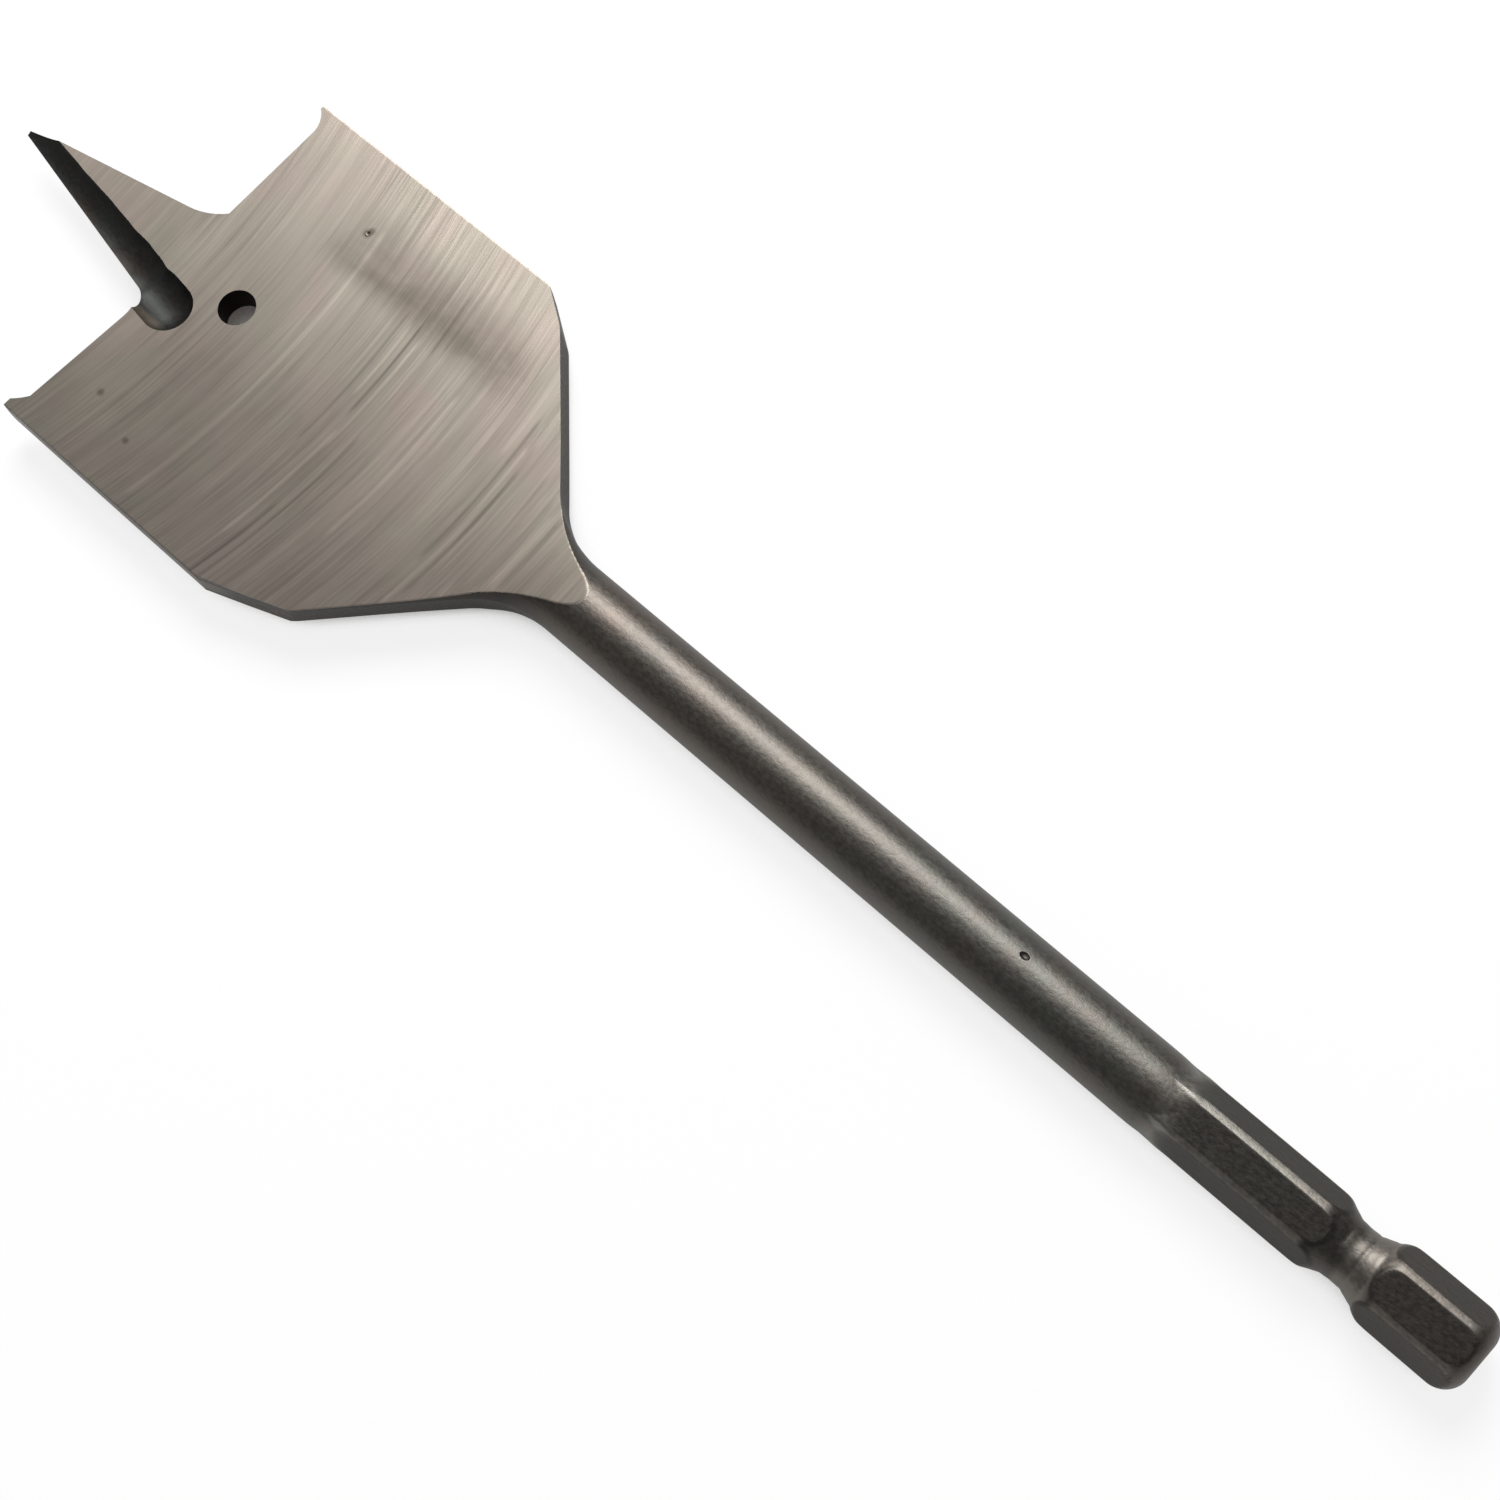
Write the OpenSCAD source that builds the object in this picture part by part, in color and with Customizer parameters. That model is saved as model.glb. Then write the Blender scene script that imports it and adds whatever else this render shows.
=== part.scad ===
// Spade drill bit for wood, 38 mm, with a quarter-inch hex drive end.
// The axis is +X: the drive end face is at the origin and the point looks along +X.
// The blade lies level, its front face up; +Y is the side whose front face leads the cut.

/* [Whole bit] */
// Length from the drive end face to the tip of the point
overall_len = 160; // [140:1:400]
// Diameter of the round shank
shank_d = 6.5; // [6.3:0.05:6.9]

/* [Drive end] */
// Width across the flats of the drive land, behind the groove
drive_af = 6.35; // [6.2:0.05:6.6]
// Diameter over the rounded corners of the drive land
drive_corner_d = 7.1; // [6.95:0.05:7.3]
// Width across the flats that are formed in the shank ahead of the groove
front_af = 5.85; // [5.6:0.05:6.1]
// Length from the end face to where the flats run out on the round shank
hex_len = 28.2; // [22:0.2:40]
// Length of the cone on which the flats run out
hex_runout = 1.2; // [0.5:0.1:3]
// Turn of the flats about the axis, away from the plane of the blade
hex_clock = 12; // [0:1:30]
// Radius of the rounded end of the drive land
end_r = 2; // [0.8:0.1:2.6]
// Place of the middle of the retaining groove, from the end face
groove_at = 11.3; // [9:0.1:13]
// Smallest diameter of the retaining groove
groove_d = 4.9; // [4.4:0.1:5.6]
// Radius of the bottom of the retaining groove
groove_r = 4; // [2.5:0.1:5]
// Slope of the flanks of the groove
groove_flank = 30; // [25:1:60]

/* [Blade] */
// Cutting diameter, which is the width of the blade
blade_w = 38.2; // [30:0.1:44]
// Thickness of the blade between its ground faces
blade_t = 2.7; // [2:0.1:3.2]
// Length of the straight sides, from the lips back to the corner of the heel
side_len = 28.25; // [22:0.05:34]
// Slope of the heel to the axis
heel_angle = 45; // [35:1:55]
// Radius on which the heel flares out of the shank
neck_r = 9; // [5:0.5:12]
// Relief angle of the walls of neck and heel behind their leading edges
heel_relief = 6; // [0:1:10]
// Depth of the bevel on the heel corners, in from the cutting diameter
bevel_in = 3.05; // [1:0.05:4]
// Length of the heel bevel along the leading side
bevel_lead = 5.35; // [1:0.05:7]
// Length of the heel bevel along the other side
bevel_trail = 1.65; // [0.8:0.05:7]
// Radius on which the ground faces sweep up to the shank
grind_r = 56; // [30:1:90]
// Diameter of the hole through the blade
hole_d = 3.4; // [2:0.1:5]
// Distance of the hole behind the lips
hole_back = 7.1; // [5:0.1:12]
// Distance of the hole from the axis, toward the trailing side
hole_off = 0.35; // [0:0.05:1]

/* [Point and lips] */
// Height of the point above the lips
point_h = 21.7; // [16:0.1:26]
// Width of the point at the level of the lips
point_w = 9.3; // [8.5:0.1:12]
// Width of the chisel edge at the tip
tip_w = 0.5; // [0.3:0.05:1]
// Distance of the point's own centre line from the axis, toward the trailing side
point_off = 0.6; // [0:0.05:1]
// Relief angle of the lips behind their cutting edges
lip_relief = 6; // [3:1:12]
// Slope of the leading lip, forward toward its spur
lip_slope_lead = 3.5; // [0:0.5:6]
// Slope of the other lip, forward toward its spur
lip_slope_trail = 0.5; // [0:0.5:6]
// Distance of the other lip ahead of the leading one, from uneven sharpening
lip_ahead = 0.55; // [0:0.05:0.8]
// Radius between the point and the leading lip
root_r_lead = 2.8; // [1.2:0.1:4]
// Radius between the point and the other lip
root_r_trail = 6.4; // [1.2:0.1:8]
// Angle at which that radius stops short on the other lip
root_kink_trail = 45; // [0:1:55]
// Height of the spurs above the outer ends of the lips
spur_h = 1.2; // [0.8:0.1:2.4]
// Width of the leading spur at its foot; it is the more worn of the two
spur_w_lead = 2.1; // [1.8:0.1:3.4]
// Width of the other spur at its foot
spur_w_trail = 2.6; // [1.8:0.1:3.4]
// Width of the flat on the tip of the leading spur
spur_tip_lead = 0.8; // [0.15:0.05:1]
// Width of the flat on the tip of the other spur
spur_tip_trail = 0.4; // [0.15:0.05:1]
// Angle at which the inner flank of the leading spur rises from the lip
spur_rise_lead = 35; // [0:1:40]
// Angle at which the inner flank of the other spur rises from the lip
spur_rise_trail = 0; // [0:1:40]
// Radius of the hollow-ground flutes beside the point
flute_r = 2.68; // [2.4:0.02:3.4]
// Depth of a flute below the face it is ground in
flute_depth = 1.4; // [0.9:0.05:1.6]
// Distance of the round end of a flute behind the lips
flute_back = 4.5; // [3:0.1:6]
// Distance of a flute's centre line from that of the point, at its round end
flute_in = 4.1; // [3.4:0.1:4.6]
// Slope of a flute to the axis
flute_slope = 7.6; // [5:0.2:9]

/* [Hidden] */
// Overrun of every cut past the surface that it opens
over = 1;
// Segments of a full circle, and of the short arcs of an outline
round_fn = 120;
arc_steps = 10;
shank_r = shank_d / 2;
drive_corner_r = drive_corner_d / 2;
blade_r = blade_w / 2;
face_z = blade_t / 2;
lip_x = overall_len - point_h;
heel_x = lip_x - side_len;
// Foot of the neck flare: the heel line meets the cutting diameter at heel_x
neck_x = heel_x - (blade_r - shank_r - neck_r * (1 - cos(heel_angle))) / tan(heel_angle)
    - neck_r * sin(heel_angle);
// The ground faces leave the shank a third of its diameter behind the neck flare
grind_from = neck_x - shank_d / 3;
// Where they turn level, after their sweep down from the shank
level_x = grind_from + sqrt(2 * grind_r * (shank_r - face_z) - pow(shank_r - face_z, 2));

// Points of an arc about a centre, from one angle to another
function arc(centre, r, from, to) =
    [for (i = [0 : arc_steps])
        let (a = from + (to - from) * i / arc_steps)
        centre + r * [cos(a), sin(a)]];

// Half outline of the turned and forged blank, as (radius, place along the axis)
function blank_outline() =
    let (
        rim_r = groove_d / 2 + groove_r,
        flank_r = groove_d / 2 + groove_r * (1 - cos(groove_flank)),
        flank_dx = groove_r * sin(groove_flank),
        tail_dx = flank_dx + (drive_corner_r - flank_r) / tan(groove_flank),
        front_dx = flank_dx + (shank_r - flank_r) / tan(groove_flank)
    )
    concat(
        [[0, 0]],
        arc([drive_corner_r - end_r, end_r], end_r, -90, 0),
        [[drive_corner_r, groove_at - tail_dx]],
        arc([rim_r, groove_at], groove_r, 180 + groove_flank, 180 - groove_flank),
        [[shank_r, groove_at + front_dx]],
        arc([shank_r + neck_r, neck_x], neck_r, 180, 180 - heel_angle),
        [[blade_r, heel_x], [blade_r, overall_len], [0, overall_len]]
    );

// The blank before grinding: hex land, groove, round shank, flared neck and full width
module blank() {
    rotate([0, 90, 0])
        rotate_extrude($fn = round_fn)
            polygon(blank_outline());
}

// Hexagonal bar along the axis, turned so that its flats stand at hex_clock
module hex_bar(af, from, to) {
    translate([from, 0, 0])
        rotate([30 - hex_clock, 0, 0])
            rotate([0, 90, 0])
                cylinder(d = af / cos(30), h = to - from, $fn = 6);
}

// What is taken off round a hex section between two places along the axis.
// A cone brings the flats out to the round shank over the length of runout.
module flats_cut(af, from, to, runout) {
    rise = runout > 0 ? (shank_r - af / 2) / runout : 0;
    difference() {
        translate([from, 0, 0])
            rotate([0, 90, 0])
                cylinder(r = drive_corner_r + over, h = to + runout - from, $fn = round_fn);
        hex_bar(af, from - over, to + runout + over);
        if (runout > 0)
            translate([to - runout, 0, 0])
                rotate([0, 90, 0])
                    cylinder(r1 = af / 2, r2 = af / 2 + 3 * runout * rise,
                        h = 3 * runout, $fn = round_fn);
    }
}

// Stock above one ground face: a level cut and the wheel's sweep up to the shank
module face_cut() {
    translate([level_x, -blade_r - over, face_z])
        cube([overall_len - level_x + over, blade_w + 2 * over, blade_r + over]);
    translate([level_x, blade_r + over, face_z + grind_r])
        rotate([90, 0, 0])
            cylinder(r = grind_r, h = blade_w + 2 * over, $fn = 3 * round_fn);
}

// Outline of the gap between the point and a spur, for the side at +Y.
// The point's flank lies shift away from the axis, and the lip lies ahead of lip_x.
// The lip rises by slope to its spur; the root arc meets it at the angle kink.
// The spur is given by its width at the foot, that of its tip, and the rise of its flank.
function gap_outline(shift, ahead, slope, root_r, kink, spur_w, spur_tip_w, spur_rise) =
    let (
        // The outline lies in a plane that is tilted by the relief of the lips
        height = point_h * cos(lip_relief),
        flank = atan((point_w - tip_w) / 2 / height),
        foot = point_w / 2 + shift - ahead * tan(flank),
        spur_y = blade_r - spur_w,
        // The root arc touches the flank and ends on the lip line
        root = [lip_x + ahead, foot],
        reach = root_r * (cos(kink) - sin(flank - slope)) / cos(flank - slope),
        on_flank = root + reach * [cos(flank), -sin(flank)],
        centre = on_flank + root_r * [sin(flank), cos(flank)],
        lip_end = root + (spur_y - foot) / cos(slope) * [sin(slope), cos(slope)],
        tip = [lip_end[0] + spur_h, blade_r - spur_tip_w],
        spur_dy = tip[1] - lip_end[1],
        // The flank inside the spur is an arc that leaves the lip at the angle spur_rise
        half_sweep = atan(spur_h / spur_dy) - spur_rise,
        spur_r = norm([spur_h, spur_dy]) / (2 * sin(half_sweep)),
        spur_centre = lip_end + spur_r * [cos(spur_rise), -sin(spur_rise)]
    )
    concat(
        [[lip_x + height + over, tip_w / 2 + shift - over * tan(flank)]],
        arc(centre, root_r, -90 - flank, -180 - slope + kink),
        arc(spur_centre, spur_r, 180 - spur_rise, 180 - spur_rise - 2 * half_sweep),
        [[tip[0], blade_r + over], [lip_x + height + over, blade_r + over]]
    );

// One gap, tilted about its cutting edge for the relief of the lip
module gap(shift, ahead, slope, root_r, kink, spur_w, spur_tip_w, spur_rise) {
    translate([lip_x, 0, face_z])
        rotate([0, lip_relief, 0])
            translate([-lip_x, 0, -point_h])
                linear_extrude(height = 2 * point_h)
                    polygon(gap_outline(shift, ahead, slope, root_r, kink,
                        spur_w, spur_tip_w, spur_rise));
}

// Wheel path of the flute in the front face, beside the point: a round end and a straight run
module flute() {
    reach = sqrt(2 * flute_r * flute_depth - flute_depth * flute_depth);
    translate([lip_x - flute_back + reach, flute_in, face_z - flute_depth + flute_r])
        rotate([0, 0, -flute_slope])
            rotate([0, 90, 0]) {
                sphere(r = flute_r, $fn = round_fn);
                cylinder(r = flute_r, h = point_h + flute_back + 2 * over, $fn = round_fn);
            }
}

// Stock beside neck and heel at +Y. The wall that it leaves leans in under its front edge.
// A tilt about the Y axis gives the heel its relief, and x is drawn short to make up for it.
module heel_cut() {
    tilt = atan(tan(heel_relief) / sin(heel_angle));
    far_y = blade_r + over;
    far_x = heel_x - neck_x + over / tan(heel_angle);
    translate([neck_x, 0, face_z])
        rotate([0, -tilt, 0])
            translate([0, 0, -blade_r])
                linear_extrude(height = blade_w)
                    polygon([for (spot = concat(
                        arc([0, shank_r + neck_r], neck_r, -90, heel_angle - 90),
                        [[far_x, far_y], [0, far_y]]))
                        [spot[0] * cos(tilt), spot[1]]]);
}

// Bevel that takes off one heel corner, for the side at +Y
module heel_bevel(side_cut) {
    drop = bevel_in / tan(heel_angle);
    translate([0, 0, -blade_r])
        linear_extrude(height = blade_w)
            polygon([
                [heel_x - drop, blade_r - bevel_in],
                [heel_x + side_cut, blade_r],
                [heel_x + side_cut, blade_r + over],
                [heel_x - drop - over, blade_r + over],
                [heel_x - drop - over, blade_r - bevel_in]
            ]);
}

// The whole bit, forged and ground from one piece of steel
module spade_bit() {
    color("gray")
        difference() {
            blank();
            flats_cut(drive_af, -over, groove_at, 0);
            flats_cut(front_af, groove_at, hex_len, hex_runout);
            face_cut();
            rotate([180, 0, 0])
                face_cut();
            heel_cut();
            rotate([180, 0, 0])
                heel_cut();
            heel_bevel(bevel_lead);
            mirror([0, 1, 0])
                heel_bevel(bevel_trail);
            gap(-point_off, 0, lip_slope_lead, root_r_lead, 0,
                spur_w_lead, spur_tip_lead, spur_rise_lead);
            rotate([180, 0, 0])
                gap(point_off, lip_ahead, lip_slope_trail, root_r_trail, root_kink_trail,
                    spur_w_trail, spur_tip_trail, spur_rise_trail);
            translate([0, -point_off, 0]) {
                flute();
                rotate([180, 0, 0])
                    flute();
            }
            translate([lip_x - hole_back, -hole_off, -blade_t])
                cylinder(d = hole_d, h = 2 * blade_t, $fn = round_fn);
        }
}

spade_bit();
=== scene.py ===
import bmesh
import bpy
import numpy as np
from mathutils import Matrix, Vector


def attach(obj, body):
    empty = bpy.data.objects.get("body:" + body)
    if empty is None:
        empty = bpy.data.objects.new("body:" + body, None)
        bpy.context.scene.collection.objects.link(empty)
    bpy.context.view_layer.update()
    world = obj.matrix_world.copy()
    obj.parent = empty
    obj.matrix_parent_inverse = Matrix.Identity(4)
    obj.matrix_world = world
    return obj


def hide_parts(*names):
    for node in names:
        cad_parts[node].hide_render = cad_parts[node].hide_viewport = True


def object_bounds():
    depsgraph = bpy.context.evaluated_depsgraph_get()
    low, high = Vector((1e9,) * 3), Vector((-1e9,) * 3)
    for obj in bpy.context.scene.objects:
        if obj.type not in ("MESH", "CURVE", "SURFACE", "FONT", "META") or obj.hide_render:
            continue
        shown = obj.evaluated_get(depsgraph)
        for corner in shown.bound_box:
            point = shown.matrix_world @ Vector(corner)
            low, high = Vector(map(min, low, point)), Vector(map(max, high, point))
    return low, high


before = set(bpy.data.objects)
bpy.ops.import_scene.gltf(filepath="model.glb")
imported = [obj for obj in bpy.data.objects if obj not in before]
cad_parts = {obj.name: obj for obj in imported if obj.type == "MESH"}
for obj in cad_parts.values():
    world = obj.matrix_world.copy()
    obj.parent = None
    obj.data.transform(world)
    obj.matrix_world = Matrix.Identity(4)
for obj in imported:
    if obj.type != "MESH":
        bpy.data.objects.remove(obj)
cad_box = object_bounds()
mm = 0.001

# Camera. It looks down on the bit from over its drive end, from the leading side.
# The lens is given by its focal length in pixels of the square photograph.
photo_px = 1500
focal_px = 2731.4
camera_place = Vector((0.43, 37.55, 198.62))
camera_aim = Vector((70.56, 0.09, 0))
camera_roll_deg = -20.0

camera_data = bpy.data.cameras.new("camera")
camera_data.lens = focal_px / photo_px * camera_data.sensor_width
camera_data.clip_start = 0.01
camera = bpy.data.objects.new("camera", camera_data)
bpy.context.scene.collection.objects.link(camera)
camera.location = camera_place * mm
camera.rotation_euler = (camera_aim - camera_place).to_track_quat("-Z", "Y").to_euler()
camera.rotation_euler.rotate_axis("Z", np.radians(camera_roll_deg))
bpy.context.scene.camera = camera

# Studio. A pale floor under the bit, a soft round lamp over the blade and a large dim one that
# its ground face mirrors, under a grey sky. The floor shows white to the camera and to the
# metal; close under the steel its white gets a painted shade, read from ambient occlusion, and it
# keeps a soft shadow.
floor_half = 1500
floor_color = (0.9, 0.9, 0.9, 1)
floor_white = 0.85
under_shade_color = (0.06, 0.05, 0.045, 1)
under_reach = 12
under_dark, under_light = 0.1, 0.5
under_rays = 12
sky_color = (0.24, 0.24, 0.24, 1)
lamps = {
    "key_lamp": dict(aim=(90, 0, 0), way=(0.43, -0.61, 1), distance=700, size=410, watts=5.8),
    "fill_lamp": dict(aim=(120, 0, 0), way=(0.75, -0.15, 1), distance=900, size=900, watts=0.65),
}


def add_node(tree, kind, inputs=None, **settings):
    """Adds one shader node. Inputs are values, or sockets of other nodes to link from."""
    node = tree.nodes.new(kind)
    for name, value in settings.items():
        setattr(node, name, value)
    for name, value in (inputs or {}).items():
        if isinstance(value, bpy.types.NodeSocket):
            tree.links.new(value, node.inputs[name])
        else:
            node.inputs[name].default_value = value
    return node


def math_node(tree, operation, *values, clamp=False):
    """One sum of values or sockets; gives its value socket."""
    return add_node(tree, "ShaderNodeMath", dict(enumerate(values)), operation=operation,
                    use_clamp=clamp).outputs[0]


def mix_color(tree, factor, a, b, blend="MIX"):
    """Two colours mixed or blended by a factor; gives the colour socket."""
    return add_node(tree, "ShaderNodeMix", {0: factor, 6: a, 7: b}, data_type="RGBA",
                    blend_type=blend).outputs[2]


def mix_value(tree, factor, a, b):
    """Two values mixed by a factor; gives the value socket."""
    return add_node(tree, "ShaderNodeMix", {0: factor, 2: a, 3: b}, data_type="FLOAT").outputs[0]


def ramp(tree, value, low, high, low_out=0.0, high_out=1.0):
    """A value carried smoothly from one range to another and held at its ends."""
    return add_node(tree, "ShaderNodeMapRange", {"Value": value, "From Min": low, "From Max": high,
                                                 "To Min": low_out, "To Max": high_out},
                    interpolation_type="SMOOTHSTEP").outputs["Result"]


def new_material(name):
    """An empty node material and its output node."""
    material = bpy.data.materials.new(name)
    material.use_nodes = True
    material.node_tree.nodes.clear()
    return material, add_node(material.node_tree, "ShaderNodeOutputMaterial")


def mesh_object(name, points, faces, materials):
    """A mesh object at the origin from points in millimetres."""
    mesh = bpy.data.meshes.new(name)
    mesh.from_pydata(np.asarray(points, float) * mm, [], faces)
    mesh.update()
    for material in materials:
        mesh.materials.append(material)
    made = bpy.data.objects.new(name, mesh)
    bpy.context.scene.collection.objects.link(made)
    return made


floor_material, floor_output = new_material("floor")
tree = floor_material.node_tree
ray = add_node(tree, "ShaderNodeLightPath").outputs
shown = math_node(tree, "MAXIMUM", ray["Is Camera Ray"], ray["Is Glossy Ray"])
shown = math_node(tree, "MAXIMUM", shown, ray["Is Transmission Ray"])
# Painted shade: the floor's emitted white darkens where ambient occlusion finds steel close above
open_sky = add_node(tree, "ShaderNodeAmbientOcclusion", {"Distance": under_reach * mm},
                    samples=under_rays)
open_from = mix_value(tree, ray["Is Glossy Ray"], under_light, 1.0)
open_share = ramp(tree, open_sky.outputs["AO"], under_dark, open_from)
white = add_node(tree, "ShaderNodeEmission",
                 {"Color": mix_color(tree, open_share, under_shade_color, (1, 1, 1, 1))})
paint = add_node(tree, "ShaderNodeBsdfDiffuse", {"Color": floor_color})
mixed = add_node(tree, "ShaderNodeMixShader", {0: math_node(tree, "MULTIPLY", shown, floor_white),
                                               1: paint.outputs[0], 2: white.outputs[0]})
tree.links.new(mixed.outputs[0], floor_output.inputs["Surface"])
floor_z = cad_box[0].z / mm
floor_corners = [(x * floor_half, y * floor_half, floor_z)
                 for x, y in ((-1, -1), (1, -1), (1, 1), (-1, 1))]
floor = mesh_object("floor", floor_corners, [(0, 1, 2, 3)], [floor_material])

world = bpy.data.worlds.new("sky")
world.use_nodes = True
world.node_tree.nodes["Background"].inputs["Color"].default_value = sky_color
bpy.context.scene.world = world
bpy.context.scene.view_settings.view_transform = "Standard"

for lamp_name, lamp in lamps.items():
    light = bpy.data.lights.new(lamp_name, "AREA")
    light.shape = "DISK"
    light.size = lamp["size"] * mm
    light.energy = lamp["watts"]
    holder = bpy.data.objects.new(lamp_name, light)
    bpy.context.scene.collection.objects.link(holder)
    way = Vector(lamp["way"]).normalized()
    holder.location = (Vector(lamp["aim"]) + way * lamp["distance"]) * mm
    holder.rotation_euler = way.to_track_quat("Z", "Y").to_euler()

# Blank of the bit. A round bar of tool steel: the drive end is turned and pressed to a hex with
# a retaining groove, the other end forged flat and wide, and both faces are then ground level.
overall_len = cad_box[1].x / mm
blade_r = cad_box[1].y / mm
shank_r = 3.25
drive_corner_r = 3.55
drive_af = 6.35
front_af = 5.85
hex_len = 28.2
hex_runout = 1.2
hex_corner_deg = 108
end_r = 2
groove_at = 11.3
groove_d = 4.9
groove_r = 4
groove_flank = np.radians(30)
face_z = 1.35
point_h = 21.7
side_len = 28.25
neck_r = 9
heel_angle = np.radians(45)
heel_relief = np.radians(6)
bevel_in = 3.05
bevel_lead = 5.35
bevel_trail = 1.65
grind_r = 56
# Turned rings cut into the groove: place, width and depth
rings = ((10.52, 0.2, 0.06), (9.25, 0.22, 0.07), (12.3, 0.25, 0.05))
# Rounding of the edges: beside the groove, between the flats, at their end and at the faces
groove_soft = 0.2
corner_soft = 0.008
runout_soft = 0.22
runout_wide = 1.5
face_soft = 0.015
corner_wear = 0.055
lip_x = overall_len - point_h
heel_x = lip_x - side_len
neck_x = heel_x - (blade_r - shank_r - neck_r * (1 - np.cos(heel_angle))) \
    - neck_r * np.sin(heel_angle)
grind_from = neck_x - 2 * shank_r / 3
level_x = grind_from + np.sqrt(2 * grind_r * (shank_r - face_z) - (shank_r - face_z) ** 2)
# Cells round a quarter of a section, those of them on the side wall, and its widest turn
quarter_cells = 60
wall_cells = 12
wall_turn = np.radians(18)
# Steps between the sections, with the finer stretch in the groove
drive_step = 0.2
fine_from, fine_to, fine_step = 8.6, 12.8, 0.1
shank_step = 1.0
tongue_step = 0.15
tongue_to = 97
heel_from = 97.2


def soft_min(a, b, soft):
    """The smaller of two values, with the corner where they cross rounded off by soft."""
    return (a + b - np.sqrt((a - b) ** 2 + soft ** 2)) / 2


def flare(x):
    """How far neck and heel stand out from the shank at x: an arc, then the heel's straight."""
    into = np.clip(x - neck_x, 0, neck_r * np.sin(heel_angle))
    straight = np.maximum(x - neck_x - into, 0) * np.tan(heel_angle)
    return neck_r - np.sqrt(neck_r ** 2 - into ** 2) + straight


def blank_radius(x):
    """Radius of the turned and forged blank at x: the drive land with its rounded end, the
    groove as an arc between straight flanks with rings cut into it as bell curves, the round
    shank, and the neck arc that runs into the 45 degree heel up to the blade's full width."""
    end_drop = np.clip(end_r - x, 0, end_r)
    land = drive_corner_r - end_r + np.sqrt(end_r ** 2 - end_drop ** 2)
    bar = np.where(x < groove_at, land, shank_r)
    reach = np.abs(x - groove_at)
    arc_dx = groove_r * np.sin(groove_flank)
    arc = groove_d / 2 + groove_r - np.sqrt(groove_r ** 2 - np.minimum(reach, arc_dx) ** 2)
    groove = arc + np.maximum(reach - arc_dx, 0) * np.tan(groove_flank)
    groove = groove - sum(deep * np.exp(-((x - at) / wide) ** 2) for at, wide, deep in rings)
    bar = np.where(reach < 2 * groove_r, soft_min(bar, groove, groove_soft), bar)
    return np.minimum(bar + flare(x), blade_r)


def hex_radius(x, turn):
    """Radius of the pressed flats at x and turn: a hexagon across its flats, and past the
    flats a cone that brings them out to the round shank."""
    off_flat = (turn - np.radians(hex_corner_deg) + np.pi / 6) % (np.pi / 3) - np.pi / 6
    across = np.where(x < groove_at, drive_af, front_af)
    flats = across / 2 / np.cos(np.pi / 6 - np.abs(off_flat))
    cone_from = hex_len - hex_runout
    cone = front_af / 2 + (x - cone_from) / hex_runout * (shank_r - front_af / 2)
    return np.where(x > cone_from, np.maximum(flats, cone), flats)


def face_height(x):
    """Height of a ground face over the axis: level over the blade, and behind level_x the
    arc of the grinding wheel, which rises until it leaves the shank."""
    back = np.clip(level_x - x, 0, 0.9 * grind_r)
    return face_z + grind_r - np.sqrt(grind_r ** 2 - back ** 2)


def heel_limit(x, side_cut):
    """Widest half width that the bevel on a heel corner leaves at x, a straight line."""
    from_x, from_y = heel_x - bevel_in, blade_r - bevel_in
    return np.where(x < from_x, blade_r, from_y + (x - from_x) * bevel_in / (bevel_in + side_cut))


def heel_wall(x, z):
    """Half width that neck and heel leave at x and z on the leading side. The flare moves
    forward as z falls below the front face, so the wall leans in under its front edge."""
    moved = x - (face_z - z) * np.tan(heel_relief) / np.sin(heel_angle)
    return np.where(moved > neck_x, shank_r + flare(moved), blade_r)


def stations():
    """Places of the sections along the axis, close together where the shape turns: at the
    drive end, in the groove, along the run-out of the ground faces and at the heel."""
    turned = end_r * (1 - np.cos(np.linspace(0, np.pi / 2, 15)))
    drive = np.arange(turned[-1] + drive_step, hex_len + 1.5, drive_step)
    fine = np.arange(fine_from, fine_to, fine_step)
    drive = np.concatenate([drive[drive < fine_from], fine, drive[drive > fine_to]])
    shank = np.arange(drive[-1] + shank_step, grind_from - 0.6, shank_step)
    tongue = np.arange(grind_from - 0.5, tongue_to, tongue_step)
    heel = np.linspace(heel_from, heel_x - bevel_in, 24)
    corner = np.linspace(heel_x - bevel_in + 0.3, heel_x + bevel_trail, 10)
    blade = [heel_x + bevel_lead, overall_len]
    return np.concatenate([turned, drive, shank, tongue, heel, corner, blade])


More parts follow.
